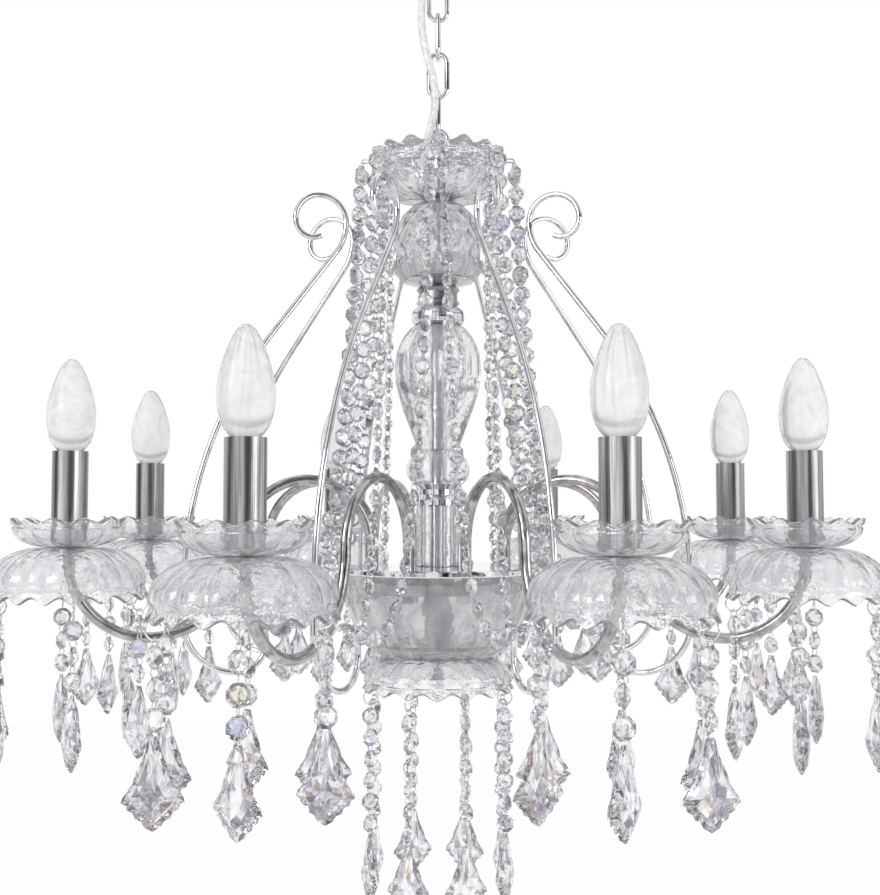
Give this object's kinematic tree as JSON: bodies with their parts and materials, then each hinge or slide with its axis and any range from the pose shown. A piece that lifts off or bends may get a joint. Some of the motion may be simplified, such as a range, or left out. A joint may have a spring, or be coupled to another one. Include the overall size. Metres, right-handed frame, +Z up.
{
  "type": "crystal chandelier",
  "caption": "Hanging chandelier with candle arms, fluted glass pans, bead strings and leaf pendants on a short chain.",
  "frame": {"origin": "centre of the ceiling fitting, on the ceiling plane", "axes": "+Z up, towards the ceiling; -Y towards the viewer; the slots of the ceiling strap lie in line along X"},
  "size_m": [0.6726, 0.6726, 0.8288],
  "materials": {
    "chrome": "polished chrome plate",
    "brushed_nickel": "brushed nickel plate",
    "zinc_steel": "zinc-plated steel",
    "pressed_glass": "clear pressed glass, polished",
    "cut_crystal": "cut crystal, polished facets",
    "lamp_glass": "frosted lamp glass",
    "white_plastic": "moulded plastic",
    "cable_sheath": "clear and white sheath"
  },
  "bodies": {
    "ceiling_fitting": {"ceiling_bracket": "zinc_steel", "canopy_stem": "zinc_steel", "stem_nuts": "zinc_steel", "canopy_cup": "chrome", "canopy_loop": "chrome", "cable_bush": "white_plastic", "terminal_block": "white_plastic", "supply_cable": "cable_sheath"},
    "chain_link_4": {"chain_link_4": "chrome"},
    "chain_link_3": {"chain_link_3": "chrome"},
    "chain_link_2": {"chain_link_2": "chrome"},
    "chain_link_1": {"chain_link_1": "chrome"},
    "chandelier": {"top_loop": "chrome", "crown_cap": "chrome", "neck_ring": "chrome", "lower_collar": "chrome", "hub_cover_disc": "chrome", "finial": "chrome", "arm_nuts": "chrome", "scroll_rods": "chrome", "arm_1": "chrome", "arm_2": "chrome", "arm_3": "chrome", "arm_4": "chrome", "arm_5": "chrome", "arm_6": "chrome", "arm_7": "chrome", "arm_8": "chrome", "hub_body": "zinc_steel", "centre_rod": "zinc_steel", "candle_sleeves": "brushed_nickel", "neck_sleeve": "brushed_nickel", "crown_pan": "pressed_glass", "column_ball": "pressed_glass", "ball_cup": "pressed_glass", "baluster_vase": "pressed_glass", "base_cylinder": "pressed_glass", "hub_bowl": "pressed_glass", "lower_pan": "pressed_glass", "bobeche_pans": "pressed_glass", "candle_cups": "pressed_glass", "crown_strings": "cut_crystal", "bobeche_drops": "cut_crystal", "lampholders": "white_plastic"},
    "bulb_1": {"bulb_1": "lamp_glass"},
    "bulb_2": {"bulb_2": "lamp_glass"},
    "bulb_3": {"bulb_3": "lamp_glass"},
    "bulb_4": {"bulb_4": "lamp_glass"},
    "bulb_5": {"bulb_5": "lamp_glass"},
    "bulb_6": {"bulb_6": "lamp_glass"},
    "bulb_7": {"bulb_7": "lamp_glass"},
    "bulb_8": {"bulb_8": "lamp_glass"},
    "lower_drop_1": {"lower_drop_1": "cut_crystal"},
    "lower_drop_2": {"lower_drop_2": "cut_crystal"},
    "lower_drop_3": {"lower_drop_3": "cut_crystal"},
    "lower_drop_4": {"lower_drop_4": "cut_crystal"},
    "lower_drop_5": {"lower_drop_5": "cut_crystal"},
    "lower_drop_6": {"lower_drop_6": "cut_crystal"},
    "lower_drop_7": {"lower_drop_7": "cut_crystal"},
    "lower_drop_8": {"lower_drop_8": "cut_crystal"}
  },
  "joints": [
    {"name": "chain_link_4_swing", "type": "hinge", "parent": "ceiling_fitting", "child": "chain_link_4", "pos_m": [0, 0, -0.0743], "axis": [0, 1, 0], "range_deg": [-15, 15], "deforming": ["supply_cable"]},
    {"name": "chain_link_3_swing", "type": "hinge", "parent": "chain_link_4", "child": "chain_link_3", "pos_m": [0, 0, -0.1073], "axis": [1, 0, 0], "range_deg": [-15, 15], "deforming": ["supply_cable"]},
    {"name": "chain_link_2_swing", "type": "hinge", "parent": "chain_link_3", "child": "chain_link_2", "pos_m": [0, 0, -0.1403], "axis": [0, 1, 0], "range_deg": [-15, 15], "deforming": ["supply_cable"]},
    {"name": "chain_link_1_swing", "type": "hinge", "parent": "chain_link_2", "child": "chain_link_1", "pos_m": [0, 0, -0.1733], "axis": [1, 0, 0], "range_deg": [-15, 15], "deforming": ["supply_cable"]},
    {"name": "chandelier_swing", "type": "hinge", "parent": "chain_link_1", "child": "chandelier", "pos_m": [0, 0, -0.2063], "axis": [0, 1, 0], "range_deg": [-15, 15], "deforming": ["supply_cable"]},
    {"name": "bulb_1_screw", "type": "hinge", "parent": "chandelier", "child": "bulb_1", "pos_m": [0.26793, 0.11098, -0.477], "axis": [0, 0, 1], "range_deg": [0, 1080]},
    {"name": "bulb_2_screw", "type": "hinge", "parent": "chandelier", "child": "bulb_2", "pos_m": [0.11098, 0.26793, -0.477], "axis": [0, 0, 1], "range_deg": [0, 1080]},
    {"name": "bulb_3_screw", "type": "hinge", "parent": "chandelier", "child": "bulb_3", "pos_m": [-0.11098, 0.26793, -0.477], "axis": [0, 0, 1], "range_deg": [0, 1080]},
    {"name": "bulb_4_screw", "type": "hinge", "parent": "chandelier", "child": "bulb_4", "pos_m": [-0.26793, 0.11098, -0.477], "axis": [0, 0, 1], "range_deg": [0, 1080]},
    {"name": "bulb_5_screw", "type": "hinge", "parent": "chandelier", "child": "bulb_5", "pos_m": [-0.26793, -0.11098, -0.477], "axis": [0, 0, 1], "range_deg": [0, 1080]},
    {"name": "bulb_6_screw", "type": "hinge", "parent": "chandelier", "child": "bulb_6", "pos_m": [-0.11098, -0.26793, -0.477], "axis": [0, 0, 1], "range_deg": [0, 1080]},
    {"name": "bulb_7_screw", "type": "hinge", "parent": "chandelier", "child": "bulb_7", "pos_m": [0.11098, -0.26793, -0.477], "axis": [0, 0, 1], "range_deg": [0, 1080]},
    {"name": "bulb_8_screw", "type": "hinge", "parent": "chandelier", "child": "bulb_8", "pos_m": [0.26793, -0.11098, -0.477], "axis": [0, 0, 1], "range_deg": [0, 1080]},
    {"name": "lower_drop_1_swing", "type": "hinge", "parent": "chandelier", "child": "lower_drop_1", "pos_m": [0.05351, 0.02217, -0.6631], "axis": [0.3827, -0.9239, 0], "range_deg": [-4, 20]},
    {"name": "lower_drop_2_swing", "type": "hinge", "parent": "chandelier", "child": "lower_drop_2", "pos_m": [0.02217, 0.05351, -0.6631], "axis": [0.9239, -0.3827, 0], "range_deg": [-4, 20]},
    {"name": "lower_drop_3_swing", "type": "hinge", "parent": "chandelier", "child": "lower_drop_3", "pos_m": [-0.02217, 0.05351, -0.6631], "axis": [0.9239, 0.3827, 0], "range_deg": [-4, 20]},
    {"name": "lower_drop_4_swing", "type": "hinge", "parent": "chandelier", "child": "lower_drop_4", "pos_m": [-0.05351, 0.02217, -0.6631], "axis": [0.3827, 0.9239, 0], "range_deg": [-4, 20]},
    {"name": "lower_drop_5_swing", "type": "hinge", "parent": "chandelier", "child": "lower_drop_5", "pos_m": [-0.05351, -0.02217, -0.6631], "axis": [-0.3827, 0.9239, 0], "range_deg": [-4, 20]},
    {"name": "lower_drop_6_swing", "type": "hinge", "parent": "chandelier", "child": "lower_drop_6", "pos_m": [-0.02217, -0.05351, -0.6631], "axis": [-0.9239, 0.3827, 0], "range_deg": [-4, 20]},
    {"name": "lower_drop_7_swing", "type": "hinge", "parent": "chandelier", "child": "lower_drop_7", "pos_m": [0.02217, -0.05351, -0.6631], "axis": [-0.9239, -0.3827, 0], "range_deg": [-4, 20]},
    {"name": "lower_drop_8_swing", "type": "hinge", "parent": "chandelier", "child": "lower_drop_8", "pos_m": [0.05351, -0.02217, -0.6631], "axis": [-0.3827, -0.9239, 0], "range_deg": [-4, 20]}
  ]
}
